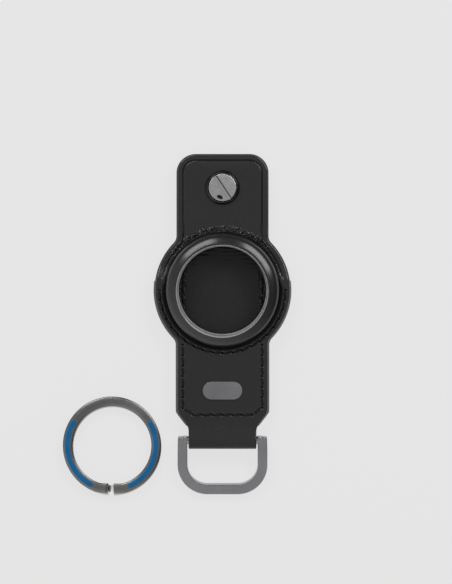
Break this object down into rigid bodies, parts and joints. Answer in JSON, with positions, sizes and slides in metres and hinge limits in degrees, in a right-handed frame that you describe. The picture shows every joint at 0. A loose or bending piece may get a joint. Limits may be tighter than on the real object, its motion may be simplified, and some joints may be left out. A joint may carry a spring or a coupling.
{
  "type": "tracker tag holder",
  "caption": "Leather holder for a coin tracker: round moulded pocket with a ringed window, screwed flap, D-ring in a folded tab, and a loose split key ring.",
  "frame": {"origin": "on the flat rear face of the strap, straight behind the centre of the window", "axes": "+Z out of the front face through the window, +Y along the strap to the screwed end, +X to the right as seen from the front"},
  "size_m": [0.0699, 0.1043, 0.0105],
  "materials": {
    "front_leather": "smooth black calf, semi-gloss",
    "lining_leather": "matte black",
    "edge_leather": "glossy painted edge",
    "back_leather": "smooth black calf",
    "window_metal": "polished gunmetal",
    "badge_metal": "satin gunmetal",
    "screw_metal": "satin gunmetal",
    "washer_metal": "polished gunmetal",
    "ring_metal": "polished gunmetal",
    "key_ring_metal": "polished gunmetal",
    "thread": "waxed black thread",
    "enamel": "glossy blue enamel"
  },
  "bodies": {
    "holder": {"front_panel": "front_leather", "window_ring": "window_metal", "window_washer": "window_metal", "edge_filler": "edge_leather", "back_panel": "back_leather", "rear_strap": "back_leather", "badge_plate": "badge_metal", "post": "screw_metal", "pocket_seam": "thread", "left_seam": "thread", "right_seam": "thread", "bottom_seam": "thread", "left_strap_seam": "thread", "right_strap_seam": "thread"},
    "flap": {"front_flap": "front_leather", "flap_lining": "lining_leather"},
    "washer": {"cup_washer": "washer_metal"},
    "screw": {"screw": "screw_metal"},
    "d_ring": {"d_ring": "ring_metal"},
    "key_ring": {"key_ring": "key_ring_metal", "left_enamel": "enamel", "right_enamel": "enamel"}
  },
  "joints": [
    {"name": "flap_lift", "type": "hinge", "parent": "holder", "child": "flap", "pos_m": [0, 0.0217, 0.00385], "axis": [1, 0, 0], "range_deg": [0, 88]},
    {"name": "screw_lift", "type": "slide", "parent": "flap", "child": "washer", "axis": [0, 0, 1], "range_m": [0, 0.0028]},
    {"name": "screw_turn", "type": "hinge", "parent": "washer", "child": "screw", "pos_m": [0, 0.03135, 0.0048], "axis": [0, 0, 1], "range_deg": [0, 1440]},
    {"name": "d_ring_swing", "type": "hinge", "parent": "holder", "child": "d_ring", "pos_m": [0, -0.04585, 0.004], "axis": [-1, 0, 0], "range_deg": [-110, 150]},
    {"name": "key_ring_lift", "type": "slide", "parent": "holder", "child": "key_ring", "axis": [0, 0, 1], "range_m": [0, 0.03]}
  ],
  "couplings": [
    {"joint": "screw_turn", "follows": "screw_lift", "rad_per_m": 8975.9}
  ]
}
